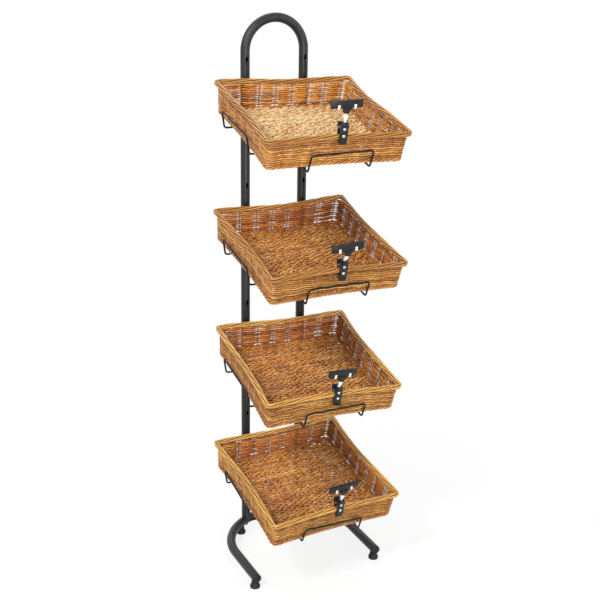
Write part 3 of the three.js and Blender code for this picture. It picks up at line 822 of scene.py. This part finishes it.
def weaveFloor(basket, willow):
    f = floorSet
    rng = basket["rng"]
    reach = basketSet["wallBottom"] / 2 - f["inset"]
    level = -rack["basketDepth"] + f["rod"] + f["weave"]
    corner = basketSet["corner"]
    spaces = f["sticks"] + 1
    spots = [k / (spaces * f["perStick"]) for k in range(spaces * f["perStick"] + 1)]

    def floorSpot(u, v, w):  # the floor follows the walls out into the corners
        grow = 1 + flareAt(w) / reach * (u * v / reach ** 2) ** 2
        return basket["place"] @ Vector((u * grow, v * grow, w))

    rows = []
    radii = []
    for row in range(f["rows"]):
        v = -reach + 2 * reach * (row + 0.5) / f["rows"]
        inset = max(0.0, abs(v) - (reach - corner))
        short = corner - math.sqrt(max(0.0, corner ** 2 - inset ** 2))
        sway = wander(rng, f["sway"])
        swell = wander(rng, f["swell"])
        late = rng.uniform(-f["late"], f["late"])
        drift = wander(rng, f["drift"])
        rod = []
        sizes = []
        for s in spots:
            up = math.cos(math.pi * (s * spaces + row + late + drift(s)))  # over one stick, under the next
            rod.append(floorSpot((reach - short) * (2 * s - 1), v + sway(s), level + f["weave"] * up))
            sizes.append(1 + swell(s) + f["swing"] * up)
        rows.append(rod)
        radii.append(sizes)
    mesh = rodMesh("floorWeave", rows, f["rod"], f["sides"], radii=radii)
    newPiece(f"floorWeave_{basket['label']}", mesh, willow, basket["body"], "willow",
             f"{basket['body']}_base")

    ends = (-reach + f["stickEnd"], 0, reach - f["stickEnd"])
    across = [reach * (2 * k / spaces - 1) for k in range(1, spaces)]
    sticks = [[floorSpot(u, v, level) for v in ends] for u in across]
    mesh = rodMesh("floorSticks", sticks, f["stick"], f["stickSides"])
    newPiece(f"floorSticks_{basket['label']}", mesh, willow, basket["body"], "willow")


# walls, rim and floor of each tier: the top basket is paler, the lower two have golden rims
finishes = [
    (topWallWillow, rimWillow, topFloorWillow),
    (wallWillow, rimWillow, floorWillow),
    (wallWillow, goldRimWillow, floorWillow),
    (wallWillow, goldRimWillow, floorWillow),
]
for tier, (wallFinish, rimFinish, floorFinish) in enumerate(finishes):
    basket = startBasket(tier)
    weaveWall(basket, wallFinish)
    setStakes(basket)
    rollRim(basket, rimFinish)
    layFootWale(basket, wallFinish)
    weaveFloor(basket, floorFinish)
    print("basket", tier + 1, "woven")

# sign clips, with heights from the middle of the clamp's seat on the rim
clipSet = dict(
    across=6 * mm,
    seats=(2 * mm, -8 * mm, -10 * mm, -1 * mm),
    neckTilts=(-4, 26, 12, 10),
    pivot=16 * mm,
    handleTop=25 * mm,
    jawFace=7.9 * mm,
    jawEdge=0.7 * mm,
    barEdge=0.6 * mm,
    fingerEdge=0.4 * mm,
    rivets=(14 * mm, -4 * mm),
    rivetOut=3.9 * mm,
)
linkSet = dict(up=32 * mm, forward=-8 * mm, span=24 * mm, ball=4 * mm, steps=32,
               poleAngle=80, waistAngle=50, arcStep=10)
springSet = dict(wire=0.45 * mm, sides=8, radius=2.4 * mm, pitch=1.5 * mm, turns=3.5, perTurn=24,
                 legDrop=5 * mm, frontLeg=0.5 * mm, rearLeg=4.2 * mm, legTurn=4)
pinSet = dict(half=11.6 * mm, inner=10.2 * mm, shoulder=11.1 * mm, radius=1.5 * mm, head=2.6 * mm,
              crown=2 * mm, steps=24)
rivetSteps = 28


def clampFrame(tier):
    front = -basketSet["rimSide"] / 2 + basketSet["rimWidth"] / 2
    return tierFrame(tier) @ Matrix.Translation((clipSet["across"], front, clipSet["seats"][tier]))


def makeClamp(label):
    c = clipSet
    clip = f"clip_{label}"
    for name, node, edge, plastic, body, slotName in (
            ("clampFront", "front_jaw", c["jawEdge"], blackPlastic, f"basket_{label}", "black_plastic"),
            ("clampRear", "rear_jaw", c["jawEdge"], blackPlastic, f"{clip}_lever", "black_plastic"),
            ("signBar", "head", c["barEdge"], blackPlastic, f"{clip}_holder", "black_plastic"),
            ("signFingers", "fingers", c["fingerEdge"], milkyPlastic, f"{clip}_holder", "pale_plastic")):
        softEdges(f"{name}_{label}", f"{clip}_{node}", edge, plastic, body, slotName)


def ballArc(start, stop, base):  # part of a ball's outline, in degrees from its equator
    ball = linkSet["ball"]
    angles = [math.radians(a) for a in range(start, stop + 1, linkSet["arcStep"])]
    return [(ball * math.cos(a), base + ball * math.sin(a)) for a in angles]


def makeBallLink(label, clamp):
    ball, span, pole, neck = (linkSet[k] for k in ("ball", "span", "poleAngle", "waistAngle"))
    lean = math.radians(clipSet["neckTilts"][label - 1])
    place = clamp @ Matrix.Translation((0, linkSet["forward"], linkSet["up"])) @ Matrix.Rotation(lean, 4, "X")
    waist = [(2.2 * mm, 4.2 * mm), (2.2 * mm, 6 * mm), (3.2 * mm, 6.6 * mm), (4.8 * mm, 7.2 * mm),
             (5.2 * mm, 8 * mm)]
    mirrored = [(r, span - z) for r, z in reversed(waist)]
    profile = [(0, -ball)] + ballArc(-pole, neck, 0) + waist
    profile += mirrored + ballArc(-neck, pole, span) + [(0, span + ball)]
    mesh = turnedMesh("ballLink", profile, place, linkSet["steps"])
    newPiece(f"ballLink_{label}", mesh, milkyPlastic, f"clip_{label}_link", "pale_plastic",
             f"clip_{label}_neck")


def makePin(label, clamp):
    p = pinSet
    place = clamp @ Matrix.Translation((0, 0, clipSet["pivot"])) @ Matrix.Rotation(math.pi / 2, 4, "Y")
    end = [(0, p["half"]), (p["crown"], p["half"]), (p["head"], p["shoulder"]), (p["head"], p["inner"]),
           (p["radius"], p["inner"])]
    profile = [(r, -z) for r, z in end] + end[::-1]
    mesh = turnedMesh("pivotPin", profile, place, p["steps"])
    newPiece(f"pivotPin_{label}", mesh, zinc, f"basket_{label}", "steel", f"clip_{label}_pin")


def makeRivets(label, clamp):
    dome = [(4.3 * mm, -1.2 * mm), (4.3 * mm, 0.3 * mm), (4.0 * mm, 1.0 * mm), (3.2 * mm, 1.7 * mm),
            (1.8 * mm, 2.2 * mm), (0, 2.4 * mm)]
    out = -clipSet["jawFace"] - clipSet["rivetOut"]
    for k, height in enumerate(clipSet["rivets"]):
        place = clamp @ Matrix.Translation((0, out, height)) @ Matrix.Rotation(math.pi / 2, 4, "X")
        mesh = turnedMesh("domeRivet", dome, place, rivetSteps)
        newPiece(f"domeRivet_{label}_{k + 1}", mesh, zinc, f"basket_{label}", "steel")


def makeSpring(label, clamp):
    s = springSet
    half = s["turns"] * s["pitch"] / 2
    legTop = clipSet["handleTop"] - s["legDrop"]
    coil = [Vector((-half, -clipSet["jawFace"] + s["frontLeg"], legTop))]
    for k in range(int(s["turns"] * s["perTurn"]) + 1):
        turn = k / s["perTurn"]
        angle = math.pi + turn * math.tau
        coil.append(Vector((-half + turn * s["pitch"], s["radius"] * math.cos(angle),
                            clipSet["pivot"] + s["radius"] * math.sin(angle))))
    mesh = rodMesh("torsionSpring", [[clamp @ p for p in coil]], s["wire"], s["sides"])
    newPiece(f"torsionSpring_{label}", mesh, zinc, f"basket_{label}", "steel", f"clip_{label}_spring")
    leg = coil[-s["legTurn"]:] + [Vector((half, clipSet["jawFace"] + s["rearLeg"], legTop))]
    mesh = rodMesh("springLeg", [[clamp @ p for p in leg]], s["wire"], s["sides"])
    newPiece(f"springLeg_{label}", mesh, zinc, f"clip_{label}_lever", "steel")  # swings with the rear lever


for tier in range(rack["tiers"]):
    clamp = clampFrame(tier)
    makeClamp(tier + 1)
    makeBallLink(tier + 1, clamp)
    makePin(tier + 1, clamp)
    makeRivets(tier + 1, clamp)
    makeSpring(tier + 1, clamp)
print("clips made")

# studio: pale floor, white surround, broad soft lamps
studio = dict(
    floorColour="#f4f4f3",
    bounceColour="#8f8c88",
    floorSize=14.0,
    floorRough=0.9,
    floorShine=0.1,
    surround=0.5,
    fadeFrom=0.2,
    fadeTo=1.2,
    fadeLeast=0.8,
    aim=(0, -0.2, 0.75),
    lamps=[  # place, size and power
        ((-2.7, -1.7, 3.4), 1.0, 132),
        ((-0.5, -3.3, 0.9), 1.6, 66),
        ((2.6, -1.8, 2.4), 2.0, 30),
        ((0.2, 1.8, 2.8), 2.0, 26),
    ],
)


def shownRays(mat):  # 1 for rays from the camera and those that metal and glass send on, 0 for plain light
    path = addNode(mat, "ShaderNodeLightPath").outputs
    mirrored = addNode(mat, "ShaderNodeMath", {"operation": "MAXIMUM"},
                       {0: path["Is Glossy Ray"], 1: path["Is Transmission Ray"]})
    return addNode(mat, "ShaderNodeMath", {"operation": "MAXIMUM"},
                   {0: mirrored.outputs[0], 1: path["Is Camera Ray"]}).outputs[0]


# matt floor paint that fades to white away from the stand, so that only the shadow shows
def floorPaint():
    mat = newMaterial("paleStudioFloor")
    rays = shownRays(mat)
    place = addNode(mat, "ShaderNodeTexCoord").outputs["Object"]
    tint = addNode(mat, "ShaderNodeMix",
                   {"data_type": "RGBA", mixFirst: linear(studio["bounceColour"]),
                    mixSecond: linear(studio["floorColour"])},
                   {0: rays})
    paint = addNode(mat, "ShaderNodeBsdfPrincipled",
                    {"Roughness": studio["floorRough"], "Specular IOR Level": studio["floorShine"]},
                    {"Base Color": tint.outputs[mixResult]})
    away = addNode(mat, "ShaderNodeVectorMath", {"operation": "LENGTH"}, {0: place})
    fade = addNode(mat, "ShaderNodeMapRange",
                   {"From Min": studio["fadeFrom"], "From Max": studio["fadeTo"],
                    "To Min": studio["fadeLeast"], "interpolation_type": "SMOOTHSTEP"},
                   {"Value": away.outputs["Value"]})
    seen = addNode(mat, "ShaderNodeMath", {"operation": "MULTIPLY"}, {0: fade.outputs["Result"], 1: rays})
    white = addNode(mat, "ShaderNodeEmission", {"Color": (1, 1, 1, 1), "Strength": 1.0})
    blend = addNode(mat, "ShaderNodeMixShader",
                    links={0: seen.outputs[0], 1: paint.outputs["BSDF"], 2: white.outputs["Emission"]})
    addNode(mat, "ShaderNodeOutputMaterial", links={"Surface": blend.outputs["Shader"]})
    return mat


def layStudioFloor():
    bm = bmesh.new()
    bmesh.ops.create_grid(bm, x_segments=1, y_segments=1, size=studio["floorSize"])
    floor = addObject("studioFloor", meshFrom(bm, "studioFloor"))
    floor.data.materials.append(floorPaint())


def lightSurround():
    world = bpy.data.worlds.new("studioSurround")
    bpy.context.scene.world = world
    world.use_nodes = True
    world.node_tree.nodes.clear()
    strength = addNode(world, "ShaderNodeMapRange", {"To Min": studio["surround"], "To Max": 1.0},
                       {"Value": shownRays(world)})
    sky = addNode(world, "ShaderNodeBackground", {"Color": (1, 1, 1, 1)},
                  {"Strength": strength.outputs["Result"]})
    addNode(world, "ShaderNodeOutputWorld", links={"Surface": sky.outputs["Background"]})


def hangLamps():
    aim = standPoint(*studio["aim"])
    for k, (place, size, power) in enumerate(studio["lamps"]):
        data = bpy.data.lights.new(f"softLamp{k + 1}", "AREA")
        data.shape = "DISK"
        data.size = size
        data.energy = power
        lamp = addObject(f"softLamp{k + 1}", data)
        lamp.location = place
        lamp.rotation_euler = (aim - Vector(place)).to_track_quat("-Z", "Y").to_euler()


layStudioFloor()
lightSurround()
hangLamps()
bpy.context.scene.view_settings.view_transform = "Standard"
print("studio lit")
